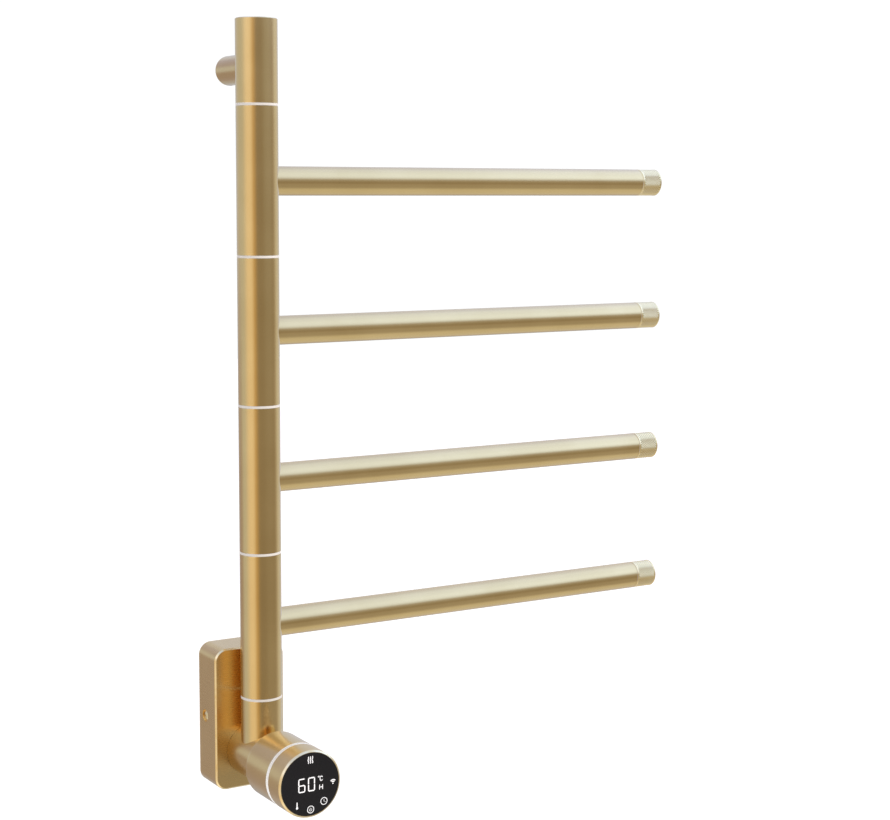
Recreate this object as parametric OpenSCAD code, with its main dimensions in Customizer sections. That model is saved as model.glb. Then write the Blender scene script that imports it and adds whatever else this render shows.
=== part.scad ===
// Wall-mounted electric towel warmer: four heated bars that swing on one upright post.
// Origin on the wall at the middle of the wall box. +Z up, -Y into the room, bars point to +X.

/* [Post] */
// Outside diameter of the post, its sleeves and the rings between them
post_d = 38; // [32:0.5:46]
// Wall of the post tubes
post_wall = 2; // [1.5:0.25:3]
// Gap between the front of the wall box and the back of the post
post_gap = 6; // [2:0.5:40]
// Height of the lowest ring above the hub's axis
first_ring = 57; // [45:1:90]
// Distance from one ring to the next, which is also the distance between bars
bar_pitch = 135; // [90:1:180]
// Height of the fixed top tube above the top ring
top_h = 76; // [60:1:120]
// Thickness of the white rings
ring_t = 2.2; // [1:0.1:4]
// Free play above and below each sleeve
end_play = 0.1; // [0.05:0.05:0.3]

/* [Bars] */
// Outside diameter of a bar and of its end cap
bar_d = 26.5; // [18:0.5:30]
// Wall of the bar tube
bar_wall = 1.5; // [1:0.25:2.5]
// Distance from the post's axis to the tip of a bar
bar_reach = 447.5; // [250:0.5:600]
// Length of the knurled end cap that shows
cap_len = 22.5; // [12:0.5:30]
// Length of the cap's spigot inside the bar
cap_spigot = 12; // [6:1:20]
// Chamfer round the cap's tip
cap_chamfer = 0.5; // [0.3:0.1:2]
// Diameter of the heater inside a bar
heater_d = 12; // [8:0.5:16]

/* [Mast and swivel] */
// Outside diameter of the mast that the sleeves turn on
mast_d = 24; // [18:0.5:26]
// Wall of the mast
mast_wall = 3; // [2:0.25:4]
// Width of the slot down the back of the mast, which keys the rings and lets the leads out
slot_w = 4.2; // [3:0.1:6]
// Gap all round between the mast and a bush
bush_gap = 0.08; // [0.03:0.01:0.1]
// Length of a bush
bush_len = 12; // [9:0.5:20]
// How far a bar swings
swing = 180; // [90:5:200]
// Angle that a ring's stop lug takes up
lug_angle = 16; // [10:1:20]
// Angle left free at each end of the swing
stop_gap = 1; // [0.5:0.5:3]
// Height of a stop lug
lug_h = 4; // [3:0.5:5]
// Wall of the bush left outside its recess
bush_skin = 1.6; // [1:0.1:2.5]

/* [Hub] */
// How much wider than the post the level tube from the wall box to the control head is
hub_extra = 10; // [1:0.5:12]
// Wall of the hub tube
hub_wall = 2; // [1.5:0.25:3]

/* [Wall box] */
// Room beside the hub's flange, inside the cover
side_room = 1.3; // [1:0.1:20]
// Room below the hub's flange, from its edge to the bottom of the cover
foot_room = 3.9; // [3:0.1:12]
// Height of the wall box
box_h = 134; // [130:1:180]
// Depth of the wall box
box_depth = 36; // [32:0.5:60]
// Radius of the wall box's corners
box_r = 11.5; // [6:0.5:14]
// Wall of the wall box's cover
box_wall = 2; // [1.5:0.25:3]
// Bevel round the front of the cover
box_bevel = 1.5; // [0.5:0.1:1.8]
// Thickness of the back plate
plate_t = 3; // [2:0.5:4]
// Distance from the side of the cover to a wall screw
bolt_in = 9.2; // [7.5:0.1:10]
// Distance from the top or bottom of the cover to a wall screw
bolt_down = 11; // [9:0.5:12]
// Hole for a wall screw
bolt_hole_d = 5.5; // [4:0.1:6.5]

/* [Standoff] */
// Outside diameter of the top standoff
standoff_d = 27; // [22:0.5:30]
// Wall of the standoff tube
standoff_wall = 2; // [1.5:0.25:3]
// Height of the standoff above the top ring
standoff_up = 32.7; // [20:0.1:42]
// Hole for the standoff's wall screw
standoff_hole_d = 5.2; // [4:0.1:6]

/* [Control head] */
// Outside diameter of the control head
head_d = 61; // [58:0.5:75]
// Gap between the front of the post and the back of the head
head_gap = 10.3; // [8:0.1:30]
// Length of the rear housing
housing_len = 41.5; // [40:0.5:55]
// Width of the white light ring
light_w = 4.5; // [2:0.5:6]
// Length of the front barrel
barrel_len = 22; // [18:0.5:30]
// Width of the rim round the glass
bezel_w = 1.9; // [1.2:0.1:3]
// Thickness of the glass
glass_t = 1.8; // [1:0.1:2.5]

/* [Hidden] */
$fn = 96;
eps = 0.01; // cuts and joins run past a face by this, or by past
past = 1;
fit_gap = 0.1; // gap round a part that drops into place
slip_gap = 0.5; // gap round a part that passes through with room to spare

bars = 4;

gold = "#C2A46C";
steel = "#B9BBBE";
nylon = "#F4F1EA";
circuit = "#1F6B45";
charcoal = "#2A2A2C";

// Post
post_r = post_d / 2;
post_bore = post_r - post_wall;
mast_r = mast_d / 2;
mast_bore = mast_r - mast_wall;
bush_bore = mast_r + bush_gap;
sleeve_len = bar_pitch - ring_t - 2 * end_play;
top_ring = first_ring + bars * bar_pitch;
post_top = top_ring + top_h;
top_edge = 0.8; // eased edge at the very top
plug_t = 6;
washer_t = 1.5;
washer_breadth = 3.5;
nut_t = 8;
nut_room = 0.8; // between the nut's corners and the post
nut_corner_r = post_bore - nut_room;
thread_end = 3; // thread left above the nut
leads_room = 3; // round the wires in the mast
tooth_bite = 0.5; // a ring's tooth stops this far short of the mast's bore
mast_foot = 8; // the mast ends this far above the hub's axis
mast_top = top_ring + ring_t / 2 + bush_len + washer_t + nut_t + thread_end;
tooth_gap = 0.1;
lug_gap = 0.4;
lug_in = mast_r + lug_gap;
recess_out = post_bore - bush_skin;
lug_out = recess_out - lug_gap;
recess_h = lug_h + 1;
lead_window_r = 8;

// Bars
bar_r = bar_d / 2;
bar_bore = bar_r - bar_wall;
bar_edge = 0.6 * bar_wall; // eased edge at the tube's open end
heater_lead_room = 12;
heater_start = post_r + heater_lead_room;
heater_end_gap = 15;
heater_discs = 3;
disc_t = 4;

// Hub
hub_r = post_r + hub_extra / 2;
hub_bore = hub_r - hub_wall;
flange_t = 4;
collar_wall = 2.2;
collar_len = 12;
screw_head_r = 2.5;
screw_head_t = 2.5;
screw_r = 1.5;
screw_short = 0.5; // a screw's tip stops this far short of the back of what it bites
flange_screw_ring = hub_r + collar_wall + screw_head_r + slip_gap;
flange_r = flange_screw_ring + screw_head_r + 0.2;
set_screw_r = 2.5;
hub_back = plate_t + flange_t;
set_screw_y = hub_back + collar_len / 2;
window_r = 4;
window_y = hub_back + collar_len + window_r + 2; // middle of the wires' window in the hub tube
front_plate_t = 4;
front_screw_in = 5.5; // from the hub tube's bore to a head screw
head_screw_ring = hub_bore - front_screw_in;
wire_hole_r = head_screw_ring / 2;
leads_r = 4;

// Wall box
box_w = 2 * (flange_r + side_room + box_wall);
hub_drop = box_h / 2 - flange_r - foot_room;
post_to_wall = box_depth + post_gap + post_r;
bolt_x = box_w - 2 * bolt_in;
bolt_z = box_h - 2 * bolt_down;
plate_w = box_w - 2 * (box_wall + slip_gap);
plate_h = box_h - 2 * (box_wall + slip_gap);
tab_t = 2;
tab_w = 16;
cover_screw_y = 13; // from the wall to a cover screw
tab_past_screw = 9;
tab_depth = cover_screw_y + tab_past_screw - plate_t;
cover_screw_r = 2;
cover_screw_head_r = 4.2;
cover_screw_head_t = 1.3;
cover_screw_dome = (pow(cover_screw_head_r, 2) + pow(cover_screw_head_t, 2)) / (2 * cover_screw_head_t);
cover_dimple_r = 5.9;
cover_dimple = 1.3;
cover_screw_past = 1; // a cover screw comes this far through its tab
cover_shank = box_wall - cover_dimple + slip_gap + tab_t + cover_screw_past;
hex_socket_r = 1.2;
hex_socket = 0.7;
grommet_r = 7;
grommet_flange_r = 9;
grommet_flange_t = 2;
cable_r = 4.5;
terminal_size = [36, 16, 12];
terminal_z = bolt_z / 2;
terminal_to_grommet = 15;
grommet_to_power = 24;
grommet_z = terminal_z - terminal_to_grommet;
power_z = grommet_z - grommet_to_power;
terminal_front = plate_t + terminal_size[1];
terminal_step = 12;
terminal_screw_r = 2;
terminal_hole = 8;
terminal_screw_sunk = 2;
board_t = 1.6;
power_size = [54, 26];
foot_h = 5;
foot_r = 2.5;
transformer_size = [20, 14, 16];
transformer_x = -13;
relay_size = [19, 15, 15];
relay_x = 12;

// Standoff
standoff_r = standoff_d / 2;
standoff_bore = standoff_r - standoff_wall;
standoff_round = 3.5; // length of the rounding at the wall end
standoff_round_steps = 6;
standoff_end_gap = 0.5;
standoff_straight = post_to_wall - standoff_end_gap - standoff_round;
bracket_len = 18;
bracket_head_depth = 10;
bracket_head_r = 5;
grub_y = 9;
grub_r = 2.5;
grub_bite = 1.3;
grub_sunk = 0.2;
grub_socket_r = 1.3;
grub_socket = 1.2;

// Control head
head_r = head_d / 2;
head_start = post_r + head_gap;
head_wall = 3;
rear_edge = 0.8;
bezel_land = 0.4; // flat rim left between the glass and the chamfer
front_edge = bezel_w - bezel_land;
chassis_r = head_r - head_wall;
chassis_wall = 2;
chassis_floor = 3;
housing_floor = 3;
head_front = head_start + housing_len + light_w + barrel_len;
glass_sunk = 0.2;
glass_back = head_front - glass_sunk - glass_t;
glass_r = head_r - bezel_w;
hub_front = head_start + housing_floor;
board_gap = 0.7; // between a board's edge and the chassis
board_r = chassis_r - chassis_wall - board_gap;
spring_h = 4;
display_y = glass_back - spring_h - board_t; // back of the display board
control_y = head_start + housing_len - 9; // back of the control board
pillar_r = 2.5;
pillar_in = 3; // from a board's edge to a pillar's axis
pillar_ring = board_r - pillar_in;
pillar_first = 90;
head_screw_first = pillar_first + 60; // the head screws stand midway between the pillars
board_screw_head_t = 2;
display_size = [28, 17];
display_z = 2;
display_block_t = 3.4;
spring_in = 5.8; // from the board's edge to a spring's axis
spring_ring = board_r - spring_in;
spring_angles = [225, 270, 315];
spring_r = 2.4;

// ---------- shared shapes ----------

// Local frame with its origin where the post's axis meets the hub's axis
module at_post() {
    translate([0, -post_to_wall, -hub_drop]) children();
}

// Local frame on the wall at the foot of the hub's axis
module at_hub_wall() {
    translate([0, 0, -hub_drop]) children();
}

// Rod along Y that starts at distance near from the local origin and ends at far, into the room
module rod_out(r, near, far) {
    translate([0, -near, 0]) rotate([90, 0, 0]) cylinder(r = r, h = far - near);
}

// Ring or sector standing on the local XY plane
module sector(r_in, r_out, h, from, angle) {
    rotate([0, 0, from]) rotate_extrude(angle = angle) translate([r_in, 0]) square([r_out - r_in, h]);
}

// Half outline of a slab's edge: half its breadth, its thickness and the bevel on its front
function slab_edge(half, t, bevel) = [
    [-half, 0], [half, 0], [half, t - bevel], [half - bevel, t], [bevel - half, t], [-half, t - bevel]
];

// Slab with round corners and a bevelled front, its back on the local XZ plane, out to -Y
module bevelled_slab(w, h, r, t, bevel) {
    rotate([90, 0, 0]) {
        rotate([90, 0, 0])
            linear_extrude(h - 2 * r, center = true) polygon(slab_edge(w / 2, t, bevel));
        rotate([90, 0, 90])
            linear_extrude(w - 2 * r, center = true) polygon(slab_edge(h / 2, t, bevel));
        for (sx = [-1, 1], sz = [-1, 1])
            translate([sx * (w / 2 - r), sz * (h / 2 - r), 0])
                rotate_extrude()
                    polygon([[0, 0], [r, 0], [r, t - bevel], [r - bevel, t], [0, t]]);
    }
}

// Slab with round corners, from distance near to far out from the wall
module slab(w, h, r, near, far) {
    translate([0, -near, 0]) rotate([90, 0, 0]) linear_extrude(far - near) {
        square([w, h - 2 * r], center = true);
        square([w - 2 * r, h], center = true);
        for (sx = [-1, 1], sz = [-1, 1])
            translate([sx * (w / 2 - r), sz * (h / 2 - r)]) circle(r);
    }
}

// Block on the back plate's side of the wall box: centre height, width, depth and height
module block(size, x, z, near) {
    translate([x - size[0] / 2, -near - size[1], z - size[2] / 2]) cube(size);
}

// Screw along Y with its head's seat at distance seat, its shank running back to tip
module screw_out(seat, tip) {
    rod_out(screw_r, tip, seat);
    rod_out(screw_head_r, seat, seat + screw_head_t);
}

// Places round the hub's axis
module around(ring, count, first = 0) {
    for (i = [0:count - 1]) {
        a = first + i * 360 / count;
        translate([ring * cos(a), 0, ring * sin(a)]) children();
    }
}

// ---------- wall box ----------

module wall_box_cover() {
    color(gold) difference() {
        bevelled_slab(box_w, box_h, box_r, box_depth, box_bevel);
        slab(box_w - 2 * box_wall, box_h - 2 * box_wall, box_r - box_wall, -eps, box_depth - box_wall);
        at_hub_wall() rod_out(hub_r + fit_gap, box_depth / 2, box_depth + past);
        for (s = [-1, 1]) {
            translate([s * box_w / 2, -cover_screw_y, 0]) rotate([0, -90 * s, 0]) {
                translate([0, 0, -past]) cylinder(r = cover_dimple_r, h = cover_dimple + past);
                cylinder(r = cover_screw_r + 0.2, h = box_wall + past);
            }
        }
    }
}

module back_plate() {
    color(steel) difference() {
        union() {
            slab(plate_w, plate_h, box_r - box_wall - slip_gap, 0, plate_t);
            for (s = [-1, 1])
                translate([s * (plate_w - tab_t) / 2 - tab_t / 2, -plate_t - tab_depth, -tab_w / 2])
                    cube([tab_t, tab_depth + eps, tab_w]);
            for (sx = [-1, 1], sz = [-1, 1])
                translate([sx * (power_size[0] / 2 - foot_r), 0, power_z + sz * (power_size[1] / 2 - foot_r)])
                    rod_out(foot_r, plate_t - eps, plate_t + foot_h);
        }
        for (sx = [-1, 1], sz = [-1, 1])
            translate([sx * bolt_x / 2, 0, sz * bolt_z / 2]) rod_out(bolt_hole_d / 2, -past, plate_t + past);
        translate([0, 0, grommet_z]) rod_out(grommet_r, -past, plate_t + past);
        at_hub_wall() around(flange_screw_ring, 4, 45) rod_out(screw_r, -past, plate_t + past);
        for (s = [-1, 1])
            translate([s * plate_w / 2, -cover_screw_y, 0]) rotate([0, -90 * s, 0])
                translate([0, 0, -past]) cylinder(r = cover_screw_r, h = tab_t + 2 * past);
    }
}

module cover_screws() {
    color("#E3B866") for (s = [-1, 1])
        translate([s * (box_w / 2 - cover_dimple), -cover_screw_y, 0]) rotate([0, 90 * s, 0]) difference() {
            union() {
                intersection() {
                    cylinder(r = cover_screw_head_r + past, h = cover_screw_head_t + past);
                    translate([0, 0, cover_screw_head_t - cover_screw_dome]) sphere(r = cover_screw_dome);
                }
                translate([0, 0, -cover_shank]) cylinder(r = cover_screw_r, h = cover_shank + eps);
            }
            translate([0, 0, cover_screw_head_t - hex_socket]) cylinder(r = hex_socket_r, h = past, $fn = 6);
        }
}

module cable_grommet() {
    color(charcoal) translate([0, 0, grommet_z]) difference() {
        union() {
            rod_out(grommet_r, 0, plate_t + eps);
            rod_out(grommet_flange_r, plate_t, plate_t + grommet_flange_t);
        }
        rod_out(cable_r, -past, plate_t + grommet_flange_t + past);
    }
}

module terminal_block() {
    color(nylon) difference() {
        block(terminal_size, 0, terminal_z, plate_t);
        for (i = [-1:1])
            translate([i * terminal_step, 0, terminal_z])
                rod_out(terminal_screw_r + fit_gap, terminal_front - terminal_hole, terminal_front + past);
    }
}

module terminal_screws() {
    color(steel) for (i = [-1:1])
        translate([i * terminal_step, 0, terminal_z])
            rod_out(terminal_screw_r, terminal_front - terminal_hole, terminal_front - terminal_screw_sunk);
}

module power_board() {
    color(circuit) block([power_size[0], board_t, power_size[1]], 0, power_z, plate_t + foot_h);
}

module transformer() {
    color("#C9A227") block(transformer_size, transformer_x, power_z, plate_t + foot_h + board_t);
}

module relay() {
    color(charcoal) block(relay_size, relay_x, power_z, plate_t + foot_h + board_t);
}

// ---------- hub ----------

module hub_flange() {
    color(steel) at_hub_wall() difference() {
        union() {
            rod_out(flange_r, plate_t, hub_back);
            rod_out(hub_r + collar_wall, hub_back - eps, hub_back + collar_len);
        }
        rod_out(hub_r, hub_back, hub_back + collar_len + past);
        around(flange_screw_ring, 4, 45) rod_out(screw_r, plate_t - past, hub_back + past);
        translate([0, -set_screw_y, 0]) cylinder(r = set_screw_r, h = hub_r + collar_wall + past);
    }
}

module hub_flange_screws() {
    color(steel) at_hub_wall() around(flange_screw_ring, 4, 45) screw_out(hub_back, screw_short);
}

module hub_set_screw() {
    color(steel) at_hub_wall() translate([0, -set_screw_y, hub_r - hub_wall])
        cylinder(r = set_screw_r, h = hub_wall + collar_wall);
}

module hub_tube() {
    color(gold) difference() {
        at_hub_wall() difference() {
            rod_out(hub_r, hub_back, post_to_wall + hub_front);
            rod_out(hub_bore, hub_back - past, post_to_wall + hub_front + past);
            translate([0, -set_screw_y, 0]) cylinder(r = set_screw_r, h = hub_r + past);
            translate([0, -window_y, 0]) cylinder(r = window_r, h = hub_r + past);
        }
        at_post() cylinder(r = mast_r, h = hub_r + past);
    }
}

module hub_front_plate() {
    color(steel) at_post() difference() {
        rod_out(hub_bore, hub_front - front_plate_t, hub_front);
        rod_out(wire_hole_r, hub_front - front_plate_t - past, hub_front + past);
        around(head_screw_ring, 3, head_screw_first)
            rod_out(screw_r, hub_front - front_plate_t - past, hub_front + past);
    }
}

// Straight run of wires from the window in the hub tube to the control board
module hub_leads() {
    color("#B4352B") at_post() rod_out(leads_r, window_y - post_to_wall, control_y);
}

// ---------- fixed post ----------

module lower_post() {
    color(gold) at_post() difference() {
        cylinder(r = post_r, h = first_ring - ring_t / 2);
        cylinder(r = post_bore, h = first_ring);
        rod_out(hub_r, -post_to_wall, post_to_wall);
    }
}

// Nylon bush with a recess in its foot that limits the swing
module bush() {
    difference() {
        cylinder(r = post_bore, h = bush_len);
        translate([0, 0, -past]) cylinder(r = bush_bore, h = bush_len + 2 * past);
        translate([0, 0, -eps])
            sector(mast_r / 2, recess_out, recess_h + eps, 90 - lug_angle / 2 - stop_gap,
                swing + lug_angle + 2 * stop_gap);
    }
}

module fixed_bushes() {
    color(nylon) at_post() {
        translate([0, 0, first_ring - ring_t / 2]) rotate([180, 0, 0]) bush();
        translate([0, 0, top_ring + ring_t / 2]) bush();
    }
}

module mast() {
    color(steel) at_post() difference() {
        translate([0, 0, mast_foot]) cylinder(r = mast_r, h = mast_top - mast_foot);
        translate([0, 0, mast_foot - past]) cylinder(r = mast_bore, h = mast_top - mast_foot + 2 * past);
        translate([-slot_w / 2, 0, first_ring - bush_len])
            cube([slot_w, mast_r + past, top_ring - first_ring + bush_len + ring_t]);
    }
}

module mast_leads() {
    color("#B4352B") at_post()
        translate([0, 0, mast_foot])
            cylinder(r = mast_bore - leads_room, h = top_ring - bar_pitch / 2 - mast_foot);
}

// Washer with a tooth in the mast's slot and a stop lug on top
module spacer_ring() {
    translate([0, 0, -ring_t / 2]) {
        difference() {
            cylinder(r = post_r, h = ring_t);
            translate([0, 0, -past]) cylinder(r = bush_bore, h = ring_t + 2 * past);
        }
        translate([tooth_gap - slot_w / 2, mast_bore + tooth_bite, 0])
            cube([slot_w - 2 * tooth_gap, mast_wall, ring_t]);
    }
    translate([0, 0, ring_t / 2 - eps]) sector(lug_in, lug_out, lug_h + eps, 90 - lug_angle / 2, lug_angle);
}

module spacer_rings() {
    color(nylon) at_post() for (k = [0:bars])
        translate([0, 0, first_ring + k * bar_pitch]) spacer_ring();
}

module top_post() {
    color(gold) at_post() difference() {
        rotate_extrude() polygon([
            [0, top_ring + ring_t / 2],
            [post_r, top_ring + ring_t / 2],
            [post_r, post_top - top_edge],
            [post_r - top_edge, post_top],
            [0, post_top]
        ]);
        translate([0, 0, top_ring]) cylinder(r = post_bore, h = top_h + past);
    }
}

module top_plug() {
    color(gold) at_post() translate([0, 0, post_top - plug_t]) cylinder(r = post_bore, h = plug_t);
}

module wave_washer() {
    color(steel) at_post() translate([0, 0, top_ring + ring_t / 2 + bush_len]) difference() {
        cylinder(r = mast_r + washer_breadth, h = washer_t);
        translate([0, 0, -past]) cylinder(r = mast_r + fit_gap, h = washer_t + 2 * past);
    }
}

module mast_nut() {
    color(steel) at_post() translate([0, 0, top_ring + ring_t / 2 + bush_len + washer_t]) difference() {
        cylinder(r = nut_corner_r, h = nut_t, $fn = 6);
        translate([0, 0, -past]) cylinder(r = mast_r, h = nut_t + 2 * past);
    }
}

// ---------- standoff ----------

module at_standoff() {
    translate([0, 0, top_ring + standoff_up - hub_drop]) children();
}

module standoff() {
    color(gold) difference() {
        at_standoff() difference() {
            translate([0, -post_to_wall, 0]) rotate([-90, 0, 0]) rotate_extrude() polygon(concat(
                [[standoff_bore, 0], [standoff_r, 0]],
                [for (i = [0 : standoff_round_steps])
                    let (a = 90 * i / standoff_round_steps)
                    [standoff_bore + standoff_wall * cos(a), standoff_straight + standoff_round * sin(a)]]
            ));
            translate([0, -grub_y, -standoff_r - past]) cylinder(r = grub_r, h = standoff_wall + 2 * past);
        }
        at_post() translate([0, 0, top_ring]) cylinder(r = post_r, h = top_h);
    }
}

module standoff_bracket() {
    color(steel) at_standoff() difference() {
        rod_out(standoff_bore - fit_gap, 0, bracket_len);
        rod_out(standoff_hole_d / 2, -past, bracket_len + past);
        rod_out(bracket_head_r, bracket_len - bracket_head_depth, bracket_len + past);
        translate([0, -grub_y, -standoff_bore - past]) cylinder(r = grub_r, h = past + grub_bite);
    }
}

module standoff_grub_screw() {
    color(steel) at_standoff() translate([0, -grub_y, grub_sunk - standoff_r]) difference() {
        cylinder(r = grub_r, h = standoff_wall - grub_sunk + grub_bite);
        translate([0, 0, -past]) cylinder(r = grub_socket_r, h = past + grub_socket, $fn = 6);
    }
}

// ---------- control head ----------

module head_housing() {
    color(gold) at_post() difference() {
        translate([0, -head_start, 0]) rotate([90, 0, 0]) rotate_extrude() polygon([
            [hub_r, 0],
            [head_r - rear_edge, 0],
            [head_r, rear_edge],
            [head_r, housing_len],
            [hub_r, housing_len]
        ]);
        rod_out(chassis_r, hub_front, head_start + housing_len + past);
    }
}

module light_ring() {
    color(nylon) at_post() difference() {
        rod_out(head_r, head_start + housing_len, head_start + housing_len + light_w);
        rod_out(chassis_r, head_start, head_front);
    }
}

module head_barrel() {
    color(gold) at_post() difference() {
        translate([0, barrel_len - head_front, 0]) rotate([90, 0, 0])
            rotate_extrude() polygon([
                [0, 0],
                [head_r, 0],
                [head_r, barrel_len - front_edge],
                [head_r - front_edge, barrel_len],
                [0, barrel_len]
            ]);
        rod_out(chassis_r, head_start, head_front);
        rod_out(glass_r, glass_back, head_front + past);
    }
}

module head_chassis() {
    color(charcoal) at_post() difference() {
        rod_out(chassis_r, hub_front, glass_back);
        rod_out(chassis_r - chassis_wall, hub_front + chassis_floor, glass_back + past);
        rod_out(wire_hole_r, hub_front - past, hub_front + chassis_floor + past);
        around(head_screw_ring, 3, head_screw_first)
            rod_out(screw_r + fit_gap, hub_front - past, hub_front + chassis_floor + past);
    }
}

module head_screws() {
    color(steel) at_post()
        around(head_screw_ring, 3, head_screw_first)
            screw_out(hub_front + chassis_floor, hub_front - front_plate_t + screw_short);
}

module glass_face() {
    color(charcoal) at_post() rod_out(glass_r - fit_gap, glass_back, glass_back + glass_t);
}

module display_board() {
    color(circuit) at_post() rod_out(board_r, display_y, display_y + board_t);
}

module led_display() {
    color(charcoal) at_post()
        block([display_size[0], display_block_t, display_size[1]], 0, display_z, display_y + board_t);
}

module touch_springs() {
    color(steel) at_post() for (a = spring_angles)
        translate([spring_ring * cos(a), 0, spring_ring * sin(a)])
            rod_out(spring_r, display_y + board_t, glass_back);
}

module control_board() {
    color(circuit) at_post() rod_out(board_r, control_y, control_y + board_t);
}

module board_pillars() {
    color("#D9B45B") at_post() around(pillar_ring, 3, pillar_first) {
        rod_out(pillar_r, hub_front + chassis_floor, control_y);
        rod_out(pillar_r, control_y + board_t, display_y);
    }
}

module board_screws() {
    color(steel) at_post() around(pillar_ring, 3, pillar_first)
        rod_out(screw_head_r, display_y + board_t, display_y + board_t + board_screw_head_t);
}

// ---------- swinging bars, counted from the bottom ----------

// Local frame at the middle of bar k's sleeve
module at_bar(k) {
    at_post() translate([0, 0, first_ring + (k - 0.5) * bar_pitch]) children();
}

// Rod along X from distance near to far from the post's axis
module rod_along(r, near, far) {
    translate([near, 0, 0]) rotate([0, 90, 0]) cylinder(r = r, h = far - near);
}

module sleeve(k) {
    color(gold) at_bar(k) difference() {
        cylinder(r = post_r, h = sleeve_len, center = true);
        cylinder(r = post_bore, h = sleeve_len + 2 * past, center = true);
        rod_along(lead_window_r, 0, post_r + past);
    }
}

module bar(k) {
    color(gold) at_bar(k) difference() {
        rotate([0, 90, 0]) rotate_extrude() polygon([
            [bar_bore, 0],
            [bar_r, 0],
            [bar_r, bar_reach - cap_len - bar_edge],
            [bar_r - bar_edge, bar_reach - cap_len],
            [bar_bore, bar_reach - cap_len]
        ]);
        cylinder(r = post_r, h = bar_d + 2 * past, center = true);
    }
}

module end_cap(k) {
    color(gold) at_bar(k) translate([bar_reach - cap_len, 0, 0]) rotate([0, 90, 0])
        rotate_extrude() polygon([
            [0, -cap_spigot],
            [bar_bore, -cap_spigot],
            [bar_bore, 0],
            [bar_r, 0],
            [bar_r, cap_len - cap_chamfer],
            [bar_r - cap_chamfer, cap_len],
            [0, cap_len]
        ]);
}

module heater(k) {
    heater_end = bar_reach - cap_len - cap_spigot - heater_end_gap;
    spacing = (heater_end - heater_start - disc_t) / (heater_discs - 1);
    color(steel) at_bar(k) {
        rod_along(heater_d / 2, heater_start, heater_end);
        for (i = [0:heater_discs - 1])
            rod_along(bar_bore - fit_gap, heater_start + i * spacing, heater_start + i * spacing + disc_t);
    }
}

module sleeve_bushes(k) {
    color(nylon) at_bar(k) for (flip = [0, 180])
        rotate([flip, 0, 0]) translate([0, 0, -sleeve_len / 2]) bush();
}

wall_box_cover();
back_plate();
cover_screws();
cable_grommet();
terminal_block();
terminal_screws();
power_board();
transformer();
relay();
hub_flange();
hub_flange_screws();
hub_set_screw();
hub_tube();
hub_front_plate();
hub_leads();
lower_post();
fixed_bushes();
mast();
mast_leads();
spacer_rings();
top_post();
top_plug();
wave_washer();
mast_nut();
standoff();
standoff_bracket();
standoff_grub_screw();
head_housing();
light_ring();
head_barrel();
head_chassis();
head_screws();
glass_face();
display_board();
led_display();
touch_springs();
control_board();
board_pillars();
board_screws();
for (k = [1:bars]) {
    sleeve(k);
    bar(k);
    end_cap(k);
    heater(k);
    sleeve_bushes(k);
}
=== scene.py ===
import bmesh
import bpy
import math
from mathutils import Matrix, Vector


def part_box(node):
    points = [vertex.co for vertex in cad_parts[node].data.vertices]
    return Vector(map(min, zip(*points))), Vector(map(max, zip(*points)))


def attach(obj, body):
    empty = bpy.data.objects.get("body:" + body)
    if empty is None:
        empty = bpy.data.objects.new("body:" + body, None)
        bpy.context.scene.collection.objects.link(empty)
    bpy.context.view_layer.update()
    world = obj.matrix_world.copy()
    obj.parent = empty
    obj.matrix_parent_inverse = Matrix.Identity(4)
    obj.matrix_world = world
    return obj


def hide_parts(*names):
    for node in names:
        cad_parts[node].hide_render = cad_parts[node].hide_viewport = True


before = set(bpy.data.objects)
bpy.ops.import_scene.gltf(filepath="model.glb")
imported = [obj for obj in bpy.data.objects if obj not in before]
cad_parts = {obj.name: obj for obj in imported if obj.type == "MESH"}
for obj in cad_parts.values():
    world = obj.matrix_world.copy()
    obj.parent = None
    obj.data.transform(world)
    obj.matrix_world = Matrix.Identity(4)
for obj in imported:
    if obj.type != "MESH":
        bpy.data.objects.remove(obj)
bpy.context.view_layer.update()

MM = 0.001


# ---------- camera, floor and studio light ----------
# A long lens level with the top bar, left of the post and looking down on the wall box. Reflections
# see a studio shaped by direction: warm at the front left, cool overhead and at the sides, dim in
# front. Matt surfaces see a soft light, and the view itself shows a white backdrop and pale floor.

image_width, image_height = 890, 820
focal_length = 1845.2
lens_axis_up = 389.15
camera_yaw, camera_pitch, camera_roll = 31.473, 6.267, 0.176

lens = bpy.data.cameras.new("camera")
lens.sensor_fit = "HORIZONTAL"
lens.sensor_width = 36.0
lens.lens = focal_length / image_width * lens.sensor_width
lens.shift_y = (lens_axis_up - image_height / 2) / image_width
lens.clip_start = 0.05
lens.clip_end = 60.0
camera = bpy.data.objects.new("camera", lens)
camera.matrix_world = (
    Matrix.Translation((-0.72495, -1.56844, 0.49377))
    @ Matrix.Rotation(math.radians(-camera_yaw), 4, "Z")
    @ Matrix.Rotation(math.radians(90 - camera_pitch), 4, "X")
    @ Matrix.Rotation(math.radians(camera_roll), 4, "Z")
)
bpy.context.scene.collection.objects.link(camera)
bpy.context.scene.camera = camera
bpy.context.scene.view_settings.view_transform = "Standard"

studio = bpy.data.worlds.new("studio")
bpy.context.scene.world = studio
studio.use_nodes = True
sky = studio.node_tree
sky.nodes.clear()


def sky_math(operation, a, b=0.0):
    node = sky.nodes.new("ShaderNodeMath")
    node.operation = operation
    for socket, value in zip(node.inputs, (a, b)):
        if isinstance(value, (int, float)):
            socket.default_value = value
        else:
            sky.links.new(value, socket)
    return node.outputs[0]


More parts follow.
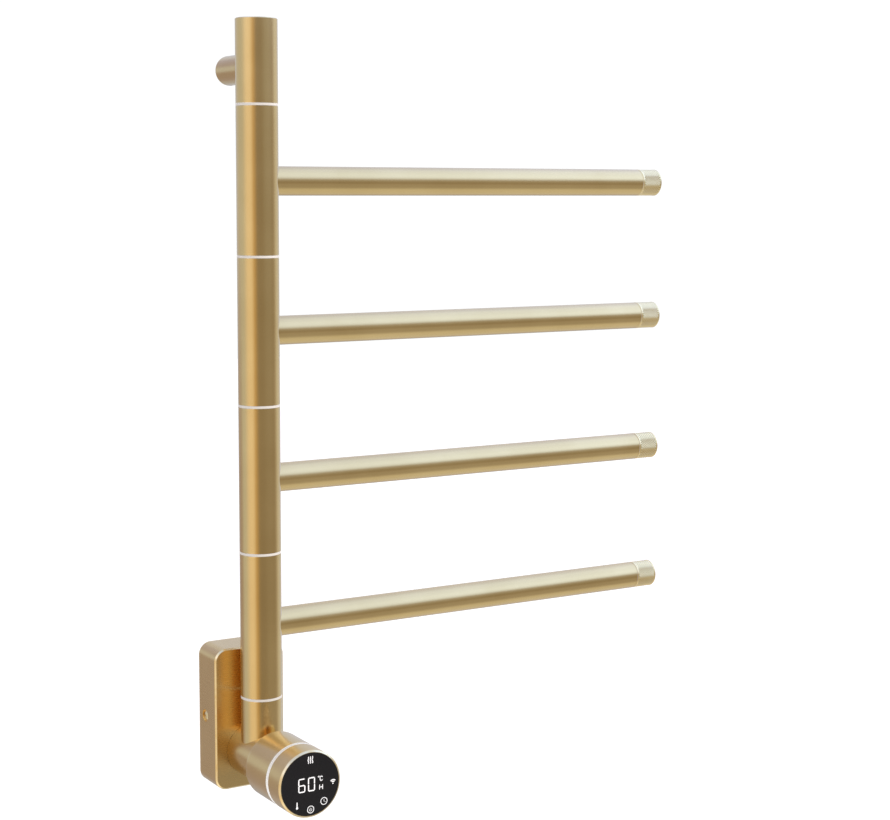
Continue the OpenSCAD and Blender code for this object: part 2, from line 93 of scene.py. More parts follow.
def fade(value, start, end):
    """0 at start and 1 at end, smoothly."""
    node = sky.nodes.new("ShaderNodeMapRange")
    node.interpolation_type = "SMOOTHSTEP"
    sky.links.new(value, node.inputs["Value"])
    flip = end < start
    node.inputs["From Min"].default_value = min(start, end)
    node.inputs["From Max"].default_value = max(start, end)
    node.inputs["To Min"].default_value = 1.0 if flip else 0.0
    node.inputs["To Max"].default_value = 0.0 if flip else 1.0
    return node.outputs["Result"]


def add_light(sum_so_far, color, *fades):
    """Adds one soft light of that colour, dimmed by each of its fades."""
    strength = 1.0
    for part in fades:
        strength = sky_math("MULTIPLY", part, strength)
    scale = sky.nodes.new("ShaderNodeVectorMath")
    scale.operation = "SCALE"
    scale.inputs[0].default_value = color
    sky.links.new(strength, scale.inputs["Scale"])
    add = sky.nodes.new("ShaderNodeVectorMath")
    add.operation = "ADD"
    sky.links.new(sum_so_far, add.inputs[0])
    sky.links.new(scale.outputs[0], add.inputs[1])
    return add.outputs[0]


direction = sky.nodes.new("ShaderNodeSeparateXYZ")
sky.links.new(sky.nodes.new("ShaderNodeTexCoord").outputs["Generated"], direction.inputs[0])
to_right, to_wall, to_top = direction.outputs
to_room = sky_math("MULTIPLY", to_wall, -1.0)
degrees = 180 / math.pi
around = sky_math("MULTIPLY", sky_math("ARCTAN2", to_right, to_room), degrees)
height = sky_math("MULTIPLY", sky_math("ARCSINE", to_top), degrees)
arch = sky_math("MULTIPLY", sky_math("ARCTAN2", to_top, to_room), degrees)

dim_room = sky.nodes.new("ShaderNodeCombineXYZ")
for socket, value in zip(dim_room.inputs, (0.31, 0.30, 0.30)):
    socket.default_value = value
glow = dim_room.outputs[0]
key = (0.32, 0.20, 0.0)
glow = add_light(glow, key, fade(around, -26, -47), fade(around, -115, -78), fade(height, 60, 20))
left_side = (0.30, 0.42, 0.66)
glow = add_light(glow, left_side, fade(around, -44, -62))
dark_low_corner = (-0.19, -0.32, -0.50)
glow = add_light(glow, dark_low_corner, fade(around, -122, -148), fade(height, 0, -9))
dark_high_corner = (-0.15, -0.24, -0.28)
glow = add_light(glow, dark_high_corner, fade(around, -105, -135), fade(height, 6, 16))
right_back = (0.34, 0.44, 0.62)
glow = add_light(glow, right_back, fade(around, 62, 95), fade(height, -40, -10), fade(height, 60, 15))
ceiling = (0.65, 1.10, 2.6)
brighter_right = sky_math("ADD", sky_math("MULTIPLY", fade(to_right, 0.2, 0.75), 0.5), 0.6)
glow = add_light(glow, ceiling, fade(arch, 0, 38), fade(arch, 172, 85), fade(height, 2, 20), brighter_right)
floor_bounce = (0.28, 0.33, 0.40)
glow = add_light(glow, floor_bounce, fade(arch, -45, -72), fade(height, -26, -46))
front_fill = (0.08, 0.13, 0.22)
glow = add_light(glow, front_fill, fade(around, -5, 25), fade(around, 70, 42), fade(height, -12, 8))
low_fill = (0.11, 0.14, 0.19)
glow = add_light(glow, low_fill, fade(around, 0, 20), fade(around, 160, 120), fade(height, -13, -20))

mirror_light = sky.nodes.new("ShaderNodeBackground")
sky.links.new(glow, mirror_light.inputs["Color"])
soft_light = sky.nodes.new("ShaderNodeBackground")
soft_light.inputs["Color"].default_value = (1.0, 0.945, 0.915, 1)
soft_strength = sky_math("ADD", sky_math("MULTIPLY", to_right, 0.6), 0.81)
sky.links.new(soft_strength, soft_light.inputs["Strength"])
backdrop = sky.nodes.new("ShaderNodeBackground")
backdrop.inputs["Color"].default_value = (1, 1, 1, 1)
backdrop.inputs["Strength"].default_value = 1.05
rays = sky.nodes.new("ShaderNodeLightPath")
soft_or_mirror = sky.nodes.new("ShaderNodeMixShader")
sky.links.new(rays.outputs["Is Glossy Ray"], soft_or_mirror.inputs[0])
sky.links.new(soft_light.outputs[0], soft_or_mirror.inputs[1])
sky.links.new(mirror_light.outputs[0], soft_or_mirror.inputs[2])
seen_or_not = sky.nodes.new("ShaderNodeMixShader")
sky.links.new(rays.outputs["Is Camera Ray"], seen_or_not.inputs[0])
sky.links.new(soft_or_mirror.outputs[0], seen_or_not.inputs[1])
sky.links.new(backdrop.outputs[0], seen_or_not.inputs[2])
sky.links.new(seen_or_not.outputs[0], sky.nodes.new("ShaderNodeOutputWorld").inputs["Surface"])


def new_material(name):
    """A new material, its node tree and its Principled shader."""
    material = bpy.data.materials.new(name)
    material.use_nodes = True
    tree = material.node_tree
    shader = tree.nodes["Principled BSDF"]
    return material, tree, shader


def new_piece(name, bm):
    """An object at the origin that holds this finished bmesh."""
    mesh = bpy.data.meshes.new(name)
    bm.to_mesh(mesh)
    bm.free()
    piece = bpy.data.objects.new(name, mesh)
    bpy.context.scene.collection.objects.link(piece)
    return piece


floor_drop = 0.9
floor_size = 12.0
bm = bmesh.new()
bmesh.ops.create_grid(bm, x_segments=1, y_segments=1, size=floor_size)
bmesh.ops.translate(bm, verts=bm.verts, vec=(0, 0, -floor_drop))
floor = new_piece("floor", bm)
pale, tree, shader = new_material("pale_floor")
shader.inputs["Base Color"].default_value = (0.9, 0.9, 0.9, 1)
shader.inputs["Roughness"].default_value = 0.9
shader.inputs["Emission Color"].default_value = (1, 1, 1, 1)
shader.inputs["Emission Strength"].default_value = 0.45
floor.data.materials.append(pale)
floor.visible_glossy = False


# ---------- wall box: cover ----------
# The cover is a deep-drawn steel lid with round corners and a bevelled front. Like the tubes it is
# sanded to a fine grain and given a champagne-gold coating under a thin clear lacquer.

gold_light = (0.82, 0.550, 0.208, 1)
gold_dark = (0.775, 0.512, 0.187, 1)
# The paler gold below marks worn edges, and is also laid as a painted highlight on the box bevel and the
# housing's back rim.
gold_rubbed_and_highlight = (0.90, 0.700, 0.370, 1)


def cloud(tree, vector, scale, detail=2.0):
    """Noise from 0 to 1."""
    node = tree.nodes.new("ShaderNodeTexNoise")
    node.inputs["Scale"].default_value = scale
    node.inputs["Detail"].default_value = detail
    tree.links.new(vector, node.inputs["Vector"])
    return node.outputs["Fac"]


def stretch(tree, scale):
    """The piece's own coordinates, stretched by axis."""
    place = tree.nodes.new("ShaderNodeTexCoord")
    mapping = tree.nodes.new("ShaderNodeMapping")
    mapping.inputs["Scale"].default_value = scale
    tree.links.new(place.outputs["Object"], mapping.inputs["Vector"])
    return mapping.outputs[0]


def math_of(tree, operation, a, b=0.0):
    node = tree.nodes.new("ShaderNodeMath")
    node.operation = operation
    for socket, value in zip(node.inputs, (a, b)):
        if isinstance(value, (int, float)):
            socket.default_value = value
        else:
            tree.links.new(value, socket)
    return node.outputs[0]


def ramp(tree, value, low, high, start, end):
    """start where value is low, end where it is high."""
    node = tree.nodes.new("ShaderNodeMapRange")
    tree.links.new(value, node.inputs["Value"])
    for name, number in zip(("From Min", "From Max", "To Min", "To Max"), (low, high, start, end)):
        node.inputs[name].default_value = number
    return node.outputs["Result"]


def blend_colors(tree, share, a, b):
    node = tree.nodes.new("ShaderNodeMix")
    node.data_type = "RGBA"
    tree.links.new(share, node.inputs["Factor"])
    for socket, value in zip(node.inputs[6:8], (a, b)):
        if isinstance(value, tuple):
            socket.default_value = value
        else:
            tree.links.new(value, socket)
    return node.outputs[2]


def bump(tree, shader, height, depth):
    node = tree.nodes.new("ShaderNodeBump")
    node.inputs["Distance"].default_value = depth
    node.inputs["Strength"].default_value = 1.0
    tree.links.new(height, node.inputs["Height"])
    tree.links.new(node.outputs[0], shader.inputs["Normal"])


def near_ends(tree, axis, ends, reach):
    """1 at the given places along an axis, falling to 0 a short way off: where hands and cloths rub, and at
    rims where a painted highlight is laid.
    """
    place = tree.nodes.new("ShaderNodeTexCoord")
    split = tree.nodes.new("ShaderNodeSeparateXYZ")
    tree.links.new(place.outputs["Object"], split.inputs[0])
    wear_and_highlight_band = None
    for end in ends:
        off = math_of(tree, "ABSOLUTE", math_of(tree, "SUBTRACT", split.outputs[axis], end))
        here = ramp(tree, off, 0.0, reach, 1.0, 0.0)
        wear_and_highlight_band = here if wear_and_highlight_band is None else math_of(tree, "MAXIMUM", wear_and_highlight_band, here)
    return wear_and_highlight_band


def satin_gold(name, grain, paler_bands=(), roughness=0.24, tones=(gold_dark, gold_light),
               scratch_depth=0.000002):
    """Champagne gold over sanded steel. grain stretches the sanding lines across one axis. The list of
    (axis, places, reach) gives bands where the colour turns paler: worn edges at the tube ends and rims,
    and a painted highlight on the box bevel and at the housing's back rim."""
    material, tree, shader = new_material(name)
    plain = stretch(tree, (1, 1, 1))
    tone = cloud(tree, plain, 22.0, 3.0)
    color = blend_colors(tree, ramp(tree, tone, 0.35, 0.65, 0.0, 1.0), *tones)
    lines = cloud(tree, stretch(tree, grain), 1.0, 3.0)
    specks = cloud(tree, plain, 2600.0, 1.0)
    mirror = math_of(tree, "ADD", ramp(tree, lines, 0.3, 0.7, -0.015, 0.015),
                     ramp(tree, tone, 0.3, 0.7, roughness - 0.015, roughness + 0.015))
    # Each band blends in the paler gold: wear at tube ends, and a painted highlight at the box bevel and
    # the housing's back rim.
    for axis, places, reach in paler_bands:
        wear_and_highlight_band = near_ends(tree, axis, places, reach)
        patchy = math_of(tree, "MULTIPLY", wear_and_highlight_band, ramp(tree, cloud(tree, plain, 160.0), 0.35, 0.6, 0.2, 1.0))
        color = blend_colors(tree, patchy, color, gold_rubbed_and_highlight)
        mirror = math_of(tree, "SUBTRACT", mirror, math_of(tree, "MULTIPLY", patchy, 0.06))
    tree.links.new(color, shader.inputs["Base Color"])
    tree.links.new(mirror, shader.inputs["Roughness"])
    shader.inputs["Metallic"].default_value = 1.0
    shader.inputs["Coat Weight"].default_value = 0.28
    shader.inputs["Coat Roughness"].default_value = 0.3
    height = math_of(tree, "ADD", lines, math_of(tree, "MULTIPLY", specks, 0.5))
    bump(tree, shader, height, scratch_depth)
    return material


def finish_node(node, material):
    """Gives a CAD node its finish."""
    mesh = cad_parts[node].data
    mesh.materials.clear()
    mesh.materials.append(material)


lines_across = 3200.0
lines_along = 45.0
across_x = (lines_across, lines_along, lines_along)
across_y = (lines_along, lines_across, lines_along)
across_z = (lines_along, lines_along, lines_across)

box_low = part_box("wall_box_cover")[0]
# The bevel round the cover's front is painted paler gold across its whole width: a painted highlight that
# widens the bright line along the bevel.
bevel_half = 0.75 * MM
bevel_highlight_reach = 0.74 * MM
bevel_middle = box_low.y + bevel_half
box_gold = satin_gold("box_gold", across_z, [(1, (bevel_middle,), bevel_highlight_reach)], 0.28,
                      scratch_depth=0.0000006)
finish_node("wall_box_cover", box_gold)


# ---------- wall box: steel and screws ----------
# The back plate, brackets, nuts, washers and mast are zinc-plated steel: cool grey with the faint
# mottled crystals of the plating. The two cover screws and the board pillars are turned brass.


def plated(name, light, dark, metal_roughness, crystals):
    """Plated or turned metal with faint crystals."""
    material, tree, shader = new_material(name)
    plain = stretch(tree, (1, 1, 1))
    cells = tree.nodes.new("ShaderNodeTexVoronoi")
    cells.inputs["Scale"].default_value = crystals
    tree.links.new(plain, cells.inputs["Vector"])
    grey = tree.nodes.new("ShaderNodeSeparateColor")
    tree.links.new(cells.outputs["Color"], grey.inputs[0])
    smear = cloud(tree, plain, 90.0, 3.0)
    tree.links.new(blend_colors(tree, grey.outputs[0], dark, light), shader.inputs["Base Color"])
    rough = math_of(tree, "ADD", ramp(tree, grey.outputs[1], 0.0, 1.0, -0.04, 0.04),
                    ramp(tree, smear, 0.3, 0.7, metal_roughness - 0.05, metal_roughness + 0.05))
    tree.links.new(rough, shader.inputs["Roughness"])
    shader.inputs["Metallic"].default_value = 1.0
    bump(tree, shader, cloud(tree, plain, 1500.0), 0.00001)
    return material


zinc = plated("zinc_plate", (0.68, 0.69, 0.71, 1), (0.58, 0.60, 0.62, 1), 0.34, 420.0)
for node in ("back_plate", "hub_flange", "hub_flange_screws", "hub_set_screw", "hub_front_plate",
             "mast", "wave_washer", "mast_nut", "standoff_bracket", "standoff_grub_screw",
             "head_screws", "board_screws", "touch_springs", "terminal_screws"):
    finish_node(node, zinc)
brass = plated("turned_brass", (0.93, 0.69, 0.33, 1), (0.86, 0.61, 0.27, 1), 0.22, 700.0)
for node in ("cover_screws", "board_pillars"):
    finish_node(node, brass)


# ---------- wall box: rubber and plastic ----------
# The cable grommet is soft black rubber. The terminal block, relay and chassis are moulded plastic,
# with the slight waviness and fine spark-eroded grain of the mould.


def moulded(name, light, dark, plastic_roughness, grain, depth=0.00002):
    """Moulded plastic or rubber."""
    material, tree, shader = new_material(name)
    plain = stretch(tree, (1, 1, 1))
    tone = cloud(tree, plain, 60.0, 3.0)
    tree.links.new(blend_colors(tree, ramp(tree, tone, 0.35, 0.65, 0.0, 1.0), dark, light),
                   shader.inputs["Base Color"])
    tree.links.new(ramp(tree, tone, 0.3, 0.7, plastic_roughness - 0.05, plastic_roughness + 0.05),
                   shader.inputs["Roughness"])
    bump(tree, shader, cloud(tree, plain, grain), depth)
    return material


black_rubber = moulded("black_rubber", (0.035, 0.035, 0.036, 1), (0.02, 0.02, 0.02, 1), 0.7, 1800.0)
finish_node("cable_grommet", black_rubber)
black_plastic = moulded("black_plastic", (0.045, 0.045, 0.048, 1), (0.03, 0.03, 0.032, 1), 0.45, 2600.0)
for node in ("relay", "head_chassis", "led_display"):
    finish_node(node, black_plastic)
terminal_plastic = moulded("terminal_plastic", (0.86, 0.84, 0.78, 1), (0.80, 0.78, 0.72, 1), 0.4, 2000.0)
finish_node("terminal_block", terminal_plastic)


# ---------- boards, transformer and wires ----------
# Circuit boards are glass cloth under green lacquer with tinned tracks. The transformer is wound and
# wrapped in yellow tape. The wires run in a red silicone sleeve.

board, tree, shader = new_material("circuit_board")
plain = stretch(tree, (1, 1, 1))
tracks = tree.nodes.new("ShaderNodeTexBrick")
tracks.offset = 0.37
tracks.inputs["Scale"].default_value = 260.0
tracks.inputs["Mortar Size"].default_value = 0.03
tracks.inputs["Color1"].default_value = (0.012, 0.105, 0.045, 1)
tracks.inputs["Color2"].default_value = (0.016, 0.130, 0.058, 1)
tracks.inputs["Mortar"].default_value = (0.06, 0.26, 0.12, 1)
tree.links.new(stretch(tree, (1, 0, 1)), tracks.inputs["Vector"])
tree.links.new(tracks.outputs["Color"], shader.inputs["Base Color"])
tree.links.new(ramp(tree, cloud(tree, plain, 300.0), 0.3, 0.7, 0.25, 0.4), shader.inputs["Roughness"])
bump(tree, shader, tracks.outputs["Fac"], 0.00003)
for node in ("power_board", "display_board", "control_board"):
    finish_node(node, board)

tape, tree, shader = new_material("transformer_tape")
turns = tree.nodes.new("ShaderNodeTexWave")
turns.inputs["Scale"].default_value = 320.0
turns.inputs["Distortion"].default_value = 1.5
tree.links.new(stretch(tree, (0, 0, 1)), turns.inputs["Vector"])
tree.links.new(blend_colors(tree, turns.outputs["Fac"], (0.62, 0.40, 0.05, 1), (0.78, 0.55, 0.10, 1)),
               shader.inputs["Base Color"])
tree.links.new(ramp(tree, turns.outputs["Fac"], 0.0, 1.0, 0.3, 0.42), shader.inputs["Roughness"])
bump(tree, shader, turns.outputs["Fac"], 0.00004)
finish_node("transformer", tape)

sleeving = moulded("silicone_sleeve", (0.50, 0.045, 0.03, 1), (0.38, 0.03, 0.02, 1), 0.5, 900.0, 0.00004)
for node in ("hub_leads", "mast_leads"):
    finish_node(node, sleeving)


# ---------- hub tube and fixed post ----------
# The level hub tube runs from the flange in the box to the control head, and the lowest length of
# post is coped onto it. The lines of the sanding belt run round each tube.

hub_gold = satin_gold("hub_gold", across_y)
finish_node("hub_tube", hub_gold)

lower_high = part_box("lower_post")[1]
top_low, top_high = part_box("top_post")
end_wear = 0.9 * MM
post_gold = satin_gold("post_gold", across_z, [(2, (lower_high.z, top_low.z, top_high.z), end_wear)])
for node in ("lower_post", "top_post", "top_plug"):
    finish_node(node, post_gold)
finish_node("standoff", satin_gold("standoff_gold", across_y))


# ---------- rings and bushes ----------
# White nylon: the five turned rings that show between the tubes, and the bushes inside them.

nylon = moulded("white_nylon", (0.93, 0.875, 0.81, 1), (0.90, 0.84, 0.775, 1), 0.42, 1400.0, 0.00001)
for node in ("spacer_rings", "fixed_bushes"):
    finish_node(node, nylon)


# ---------- control head: housing and barrel ----------
# A turned housing with a chamfer at its back rim, where a band of paler gold is a painted highlight, and a
# barrel with a finer bead-blasted skin.
# Between them sits a ring of frosted acrylic that is lit from inside.

housing_low, housing_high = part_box("head_housing")
barrel_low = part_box("head_barrel")[0]
# At the housing's back rim this paler band is a painted highlight; the same band also marks the housing's
# front rim and the barrel's front rim as rubbed.
rim_wear_and_highlight = 2.2 * MM
bead_blast = (1400, 1400, 1400)
housing_gold = satin_gold("housing_gold", across_y, [(1, (housing_high.y, housing_low.y), rim_wear_and_highlight)])
finish_node("head_housing", housing_gold)
finish_node("head_barrel", satin_gold("barrel_gold", bead_blast, [(1, (barrel_low.y,), rim_wear_and_highlight)], 0.3))

frosted, tree, shader = new_material("lit_acrylic")
plain = stretch(tree, (1, 1, 1))
patch = cloud(tree, plain, 120.0, 2.0)
tree.links.new(blend_colors(tree, patch, (0.95, 0.93, 0.89, 1), (1.0, 0.985, 0.95, 1)),
               shader.inputs["Base Color"])
tree.links.new(ramp(tree, patch, 0.3, 0.7, 0.35, 0.5), shader.inputs["Roughness"])
shader.inputs["Emission Color"].default_value = (1.0, 0.96, 0.89, 1)
shader.inputs["Emission Strength"].default_value = 0.15
bump(tree, shader, cloud(tree, plain, 2200.0), 0.00001)
finish_node("light_ring", frosted)


# ---------- control head: glass face ----------
# One disc of black-backed glass, polished flat, with a trace of wiped-on haze.

glass, tree, shader = new_material("black_glass")
haze = cloud(tree, stretch(tree, (30, 30, 90)), 1.0, 3.0)
tree.links.new(blend_colors(tree, haze, (0.007, 0.0055, 0.005, 1), (0.011, 0.009, 0.008, 1)),
               shader.inputs["Base Color"])
tree.links.new(ramp(tree, haze, 0.35, 0.65, 0.05, 0.11), shader.inputs["Roughness"])
shader.inputs["Specular IOR Level"].default_value = 0.4
finish_node("glass_face", glass)


# ---------- swinging bars ----------
# Each bar is a plain tube welded into its sleeve, sanded round its length. A steel heater with three
# centring discs lies inside, and nylon bushes carry the sleeve on the mast. Bar, heater and bushes
# are kept out of reflections, so that no bar shows as a thin line in another.

heater_steel = plated("heater_steel", (0.60, 0.58, 0.55, 1), (0.50, 0.48, 0.46, 1), 0.38, 300.0)
for k in (1, 2, 3, 4):
    sleeve_low, sleeve_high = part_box("sleeve_%d" % k)
    tube_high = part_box("bar_%d" % k)[1]
    finish_node("sleeve_%d" % k,
                satin_gold("sleeve_gold_%d" % k, across_z, [(2, (sleeve_low.z, sleeve_high.z), end_wear)]))
    finish_node("bar_%d" % k, satin_gold("bar_gold_%d" % k, across_x, [(0, (tube_high.x,), end_wear)]))
    for turning_piece in ("bar_%d", "heater_%d", "sleeve_bushes_%d"):
        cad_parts[turning_piece % k].visible_glossy = False
    finish_node("heater_%d" % k, heater_steel)
    finish_node("sleeve_bushes_%d" % k, nylon)


# ---------- knurled end caps ----------
# Each bar ends in a turned plug: a spigot inside the tube, then a grip the size of the bar with a
# diamond knurl rolled into it between two plain lips, and a small chamfer round the tip. Like the
# bars, the caps are kept out of reflections.

diamonds_round = 36
diamond_length = 2.8 * MM
knurl_depth = 0.42 * MM
knurl_flat = 0.15 * MM
back_lip = 0.7 * MM
front_lip = 0.5 * MM
seam_chamfer = 0.08 * MM
end_row_depth = 0.15 * MM
tip_chamfer = 0.5 * MM
spigot_length = 12.0 * MM
spigot_room = 1.5 * MM
dish = 0.25 * MM
tip_land = 1.2 * MM
dish_slope = 0.6 * MM
lip_gap = 0.05 * MM


def knurled_cap(seat, tip, radius):
    """Spins the cap's profile about its bar's axis, then sinks the lines of the knurl."""
    bm = bmesh.new()
    start = seat + back_lip
    end = tip - tip_chamfer - front_lip
    rows = 2 * round((end - start) / diamond_length)
    step = (end - start) / rows
    inner = radius - spigot_room
    profile = [(seat - spigot_length, 0.0), (seat - spigot_length, inner)]
    profile += [(seat, inner), (seat, radius - seam_chamfer)]
    profile += [(seat + seam_chamfer, radius), (start - lip_gap, radius)]
    profile += [(start + i * step, radius) for i in range(rows + 1)]
    profile += [(end + lip_gap, radius), (tip - tip_chamfer, radius), (tip, radius - tip_chamfer)]
    face_edge = radius - tip_chamfer - tip_land
    profile += [(tip, face_edge), (tip - dish, face_edge - dish_slope), (tip - dish, 0.0)]
    line = [bm.verts.new((x, 0.0, r)) for x, r in profile]
    for a, b in zip(line, line[1:]):
        bm.edges.new((a, b))
    bmesh.ops.spin(bm, geom=bm.verts[:] + bm.edges[:], cent=(0, 0, 0), axis=(1, 0, 0), dvec=(0, 0, 0),
                   angle=2 * math.pi, steps=2 * diamonds_round, use_merge=True)
    bmesh.ops.remove_doubles(bm, verts=bm.verts, dist=0.001 * MM)
    turn = math.pi / diamonds_round
    peaks = []
    low_verts = set()
    for v in bm.verts:
        row = round((v.co.x - start) / step)
        on_row = abs(v.co.x - start - row * step) < 0.01 * MM and 0 <= row <= rows
        if not on_row or abs(math.hypot(v.co.y, v.co.z) - radius) > 0.01 * MM:
            continue
        column = round(math.atan2(v.co.y, v.co.z) / turn)
        if (row + column) % 2 or row in (0, rows):
            depth = end_row_depth if row in (0, rows) else knurl_depth
            sunk = (radius - depth) / radius
            v.co.y *= sunk
            v.co.z *= sunk
            low_verts.add(v)
        else:
            peaks.append(v)
    cells = [f for f in bm.faces if len(f.verts) == 4 and sum(v in low_verts for v in f.verts) >= 2]
    for f in cells:
        lows = [v for v in f.verts if v in low_verts]
        if len(lows) == 2 and not any(lows[0] in e.verts and lows[1] in e.verts for e in f.edges):
            bmesh.utils.face_split(f, lows[0], lows[1])
    bmesh.ops.bevel(bm, geom=peaks, offset=knurl_flat, offset_type="OFFSET", segments=1, profile=0.5,
                    affect="VERTICES", material=-1)
    bmesh.ops.recalc_face_normals(bm, faces=bm.faces)
    return bm


# The caps' gold is paler than the bars': painted light, so that the knurl reads as bright as the lit tops
# of the bars.
cap_tones_brightened = ((0.92, 0.650, 0.265, 1), (0.96, 0.690, 0.295, 1))
knurl_gold = satin_gold("knurl_gold", (900, 900, 900), (), 0.17, cap_tones_brightened, 0.000001)
for k in (1, 2, 3, 4):
    cap_low, cap_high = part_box("end_cap_%d" % k)
    axis_y = (cap_low.y + cap_high.y) / 2
    axis_z = (cap_low.z + cap_high.z) / 2
    tube_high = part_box("bar_%d" % k)[1]
    bm = knurled_cap(tube_high.x, cap_high.x, (cap_high.z - cap_low.z) / 2)
    bmesh.ops.translate(bm, verts=bm.verts, vec=(0, axis_y, axis_z))
    cap = new_piece("knurled_cap_%d" % k, bm)
    cap.data.materials.append(knurl_gold)
    cap.visible_glossy = False
    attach(cap, "arm_%d" % k)
    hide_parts("end_cap_%d" % k)


# ---------- display on the glass ----------
# Two seven-segment digits, the unit signs beside them, a wireless sign, and a row of touch signs round
# the foot: thermometer, on-off and timer. A sign of rising heat stands at the top. All are white,
# printed on the glass and lit from behind.

glass_low, glass_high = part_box("glass_face")
face_x = (glass_low.x + glass_high.x) / 2
face_z = (glass_low.z + glass_high.z) / 2
print_thickness = 0.04 * MM
bar_weight = 1.15 * MM

lit_white, tree, shader = new_material("lit_white")
patch = cloud(tree, stretch(tree, (1, 1, 1)), 900.0)
tree.links.new(blend_colors(tree, patch, (0.90, 0.90, 0.90, 1), (0.97, 0.97, 0.97, 1)),
               shader.inputs["Base Color"])
tree.links.new(ramp(tree, patch, 0.3, 0.7, 0.4, 0.55), shader.inputs["Roughness"])
shader.inputs["Emission Color"].default_value = (1, 1, 1, 1)
shader.inputs["Emission Strength"].default_value = 0.35


def dash(bm, a, b, weight):
    """A straight stroke from a to b, with round ends."""
    start, end = Vector((a[0], 0, a[1])) * MM, Vector((b[0], 0, b[1])) * MM
    along = (end - start).normalized()
    made = bmesh.ops.create_circle(bm, cap_ends=True, segments=12, radius=weight / 2)
    verts = made["verts"]
    angle = math.atan2(along.z, along.x)
    bmesh.ops.rotate(bm, verts=verts, cent=(0, 0, 0), matrix=Matrix.Rotation(math.radians(90), 3, "X"))
    face = verts[0].link_faces[0]
    if face.normal.y > 0:
        face.normal_flip()
    bmesh.ops.rotate(bm, verts=verts, cent=(0, 0, 0), matrix=Matrix.Rotation(-angle, 3, "Y"))
    for v in verts:
        side = v.co.dot(along)
        v.co += start if side < 0 else end
    return verts


def ring_of(bm, centre, radius, weight, gap=None, steps=28):
    """A thin ring, or an arc from gap[0] to gap[1] degrees, measured from straight up."""
    first, last = gap if gap else (0.0, 360.0)
    x, z = centre[0] * MM, centre[1] * MM
    verts = [bm.verts.new((x, 0, z + radius * MM + side * weight / 2)) for side in (-1, 1)]
    edge = bm.edges.new(verts)
    spot = (x, 0, z)
    bmesh.ops.rotate(bm, verts=verts, cent=spot, matrix=Matrix.Rotation(math.radians(first), 3, "Y"))
    bmesh.ops.spin(bm, geom=verts + [edge], cent=spot, axis=(0, 1, 0), dvec=(0, 0, 0),
                   angle=math.radians(last - first), steps=steps, use_merge=gap is None)


def dot_of(bm, centre, radius):
    verts = bmesh.ops.create_circle(bm, cap_ends=True, segments=20, radius=radius * MM)["verts"]
    upright = Matrix.Rotation(math.radians(90), 3, "X")
    bmesh.ops.rotate(bm, verts=verts, cent=(0, 0, 0), matrix=upright)
    bmesh.ops.translate(bm, verts=verts, vec=(centre[0] * MM, 0, centre[1] * MM))


def print_sign(name, bm):
    """Thickens a flat sign and sets it on the front of the glass."""
    bmesh.ops.recalc_face_normals(bm, faces=bm.faces)
    for f in bm.faces:
        if f.normal.y > 0:
            f.normal_flip()
    made = bmesh.ops.extrude_face_region(bm, geom=bm.faces[:])
    front = [g for g in made["geom"] if isinstance(g, bmesh.types.BMVert)]
    bmesh.ops.translate(bm, verts=front, vec=(0, -print_thickness, 0))
    bmesh.ops.translate(bm, verts=bm.verts, vec=(face_x, glass_low.y, face_z))
    bmesh.ops.recalc_face_normals(bm, faces=bm.faces)
    sign = new_piece(name, bm)
    sign.data.materials.append(lit_white)
    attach(sign, "frame")


digit_width, digit_height = 5.9, 11.7
segment_gap = 0.75
digit_lines = {"top": (0, 1, 1, 1), "middle": (0, 0.5, 1, 0.5), "bottom": (0, 0, 1, 0),
               "upper_left": (0, 0.5, 0, 1), "lower_left": (0, 0, 0, 0.5),
               "upper_right": (1, 0.5, 1, 1), "lower_right": (1, 0, 1, 0.5)}


def digit(name, centre, lit):
    bm = bmesh.new()
    for segment in lit:
        x0, z0, x1, z1 = digit_lines[segment]
        a = Vector((centre[0] + (x0 - 0.5) * digit_width, centre[1] + (z0 - 0.5) * digit_height))
        b = Vector((centre[0] + (x1 - 0.5) * digit_width, centre[1] + (z1 - 0.5) * digit_height))
        trim = (b - a).normalized() * segment_gap
        dash(bm, a + trim, b - trim, bar_weight)
    print_sign(name, bm)


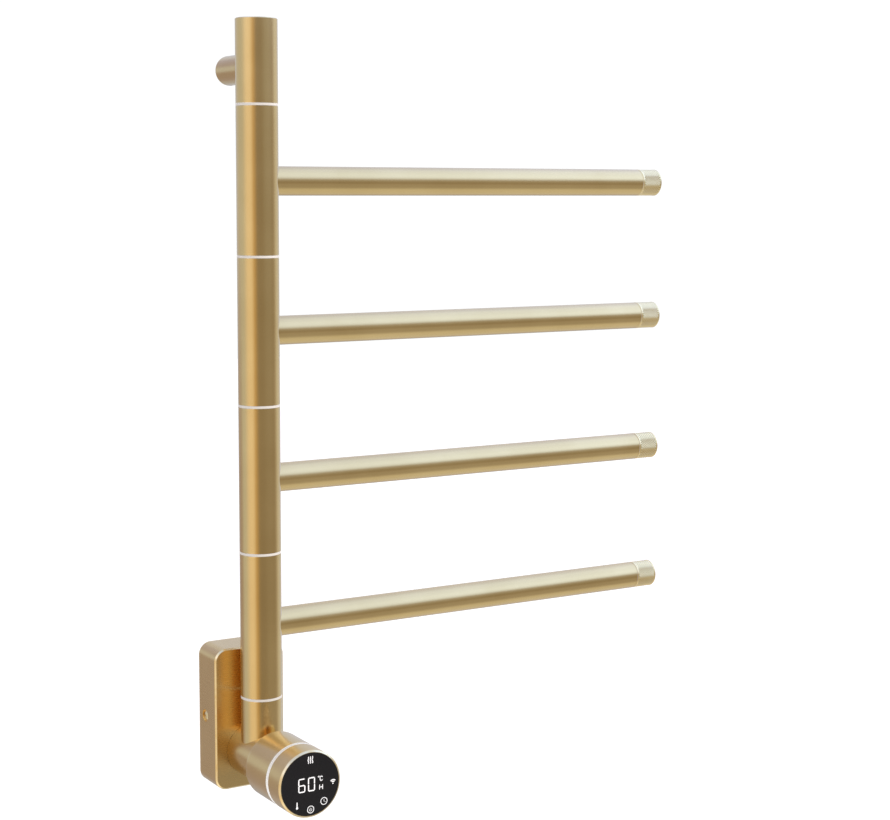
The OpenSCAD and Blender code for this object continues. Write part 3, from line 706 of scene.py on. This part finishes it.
digit("digit_tens", (-8.2, -0.1), ("top", "upper_left", "middle", "lower_left", "lower_right", "bottom"))
digit("digit_units", (1.4, -0.2),
      ("top", "upper_left", "upper_right", "lower_left", "lower_right", "bottom"))

small_weight = 0.75 * MM
bm = bmesh.new()
ring_of(bm, (8.6, 5.5), 0.55, 0.45 * MM, steps=16)
ring_of(bm, (11.1, 4.3), 1.2, small_weight, (-80, 75), 14)
ring_of(bm, (11.1, 2.9), 1.2, small_weight, (105, 260), 14)
dash(bm, (9.9, 4.2), (9.9, 3.0), small_weight)
print_sign("sign_degrees", bm)

bm = bmesh.new()
dash(bm, (9.4, -2.3), (9.4, -6.1), small_weight)
dash(bm, (12.4, -2.3), (12.4, -6.1), small_weight)
dash(bm, (10.1, -4.2), (11.7, -4.2), small_weight)
print_sign("sign_hours", bm)

bm = bmesh.new()
dot_of(bm, (22.8, -2.9), 0.6)
ring_of(bm, (22.8, -2.9), 1.85, 0.95 * MM, (-44, 44), 10)
ring_of(bm, (22.8, -2.9), 3.3, 0.95 * MM, (-44, 44), 12)
print_sign("sign_wireless", bm)

bm = bmesh.new()
dot_of(bm, (-13.0, -19.7), 1.1)
dash(bm, (-13.0, -18.4), (-13.0, -14.9), 1.0 * MM)
print_sign("sign_thermometer", bm)

bm = bmesh.new()
ring_of(bm, (0.4, -23.1), 3.15, 0.6 * MM)
ring_of(bm, (0.4, -23.3), 1.2, 0.36 * MM, (40, 320), 18)
dash(bm, (0.4, -21.6), (0.4, -23.0), 0.36 * MM)
print_sign("sign_on_off", bm)

bm = bmesh.new()
ring_of(bm, (13.7, -17.6), 3.15, 0.6 * MM)
dash(bm, (13.7, -17.6), (13.7, -15.9), 0.4 * MM)
dash(bm, (14.2, -17.9), (15.1, -18.3), 0.4 * MM)
print_sign("sign_timer", bm)

bm = bmesh.new()
for x in (-1.6, 0.4, 2.4):
    for side, z in ((1, 19.9), (-1, 22.0), (1, 24.1)):
        ring_of(bm, (x - 0.9 * side, z), 1.25, 0.75 * MM, (90 * side - 55, 90 * side + 55), 10)
print_sign("sign_heat", bm)
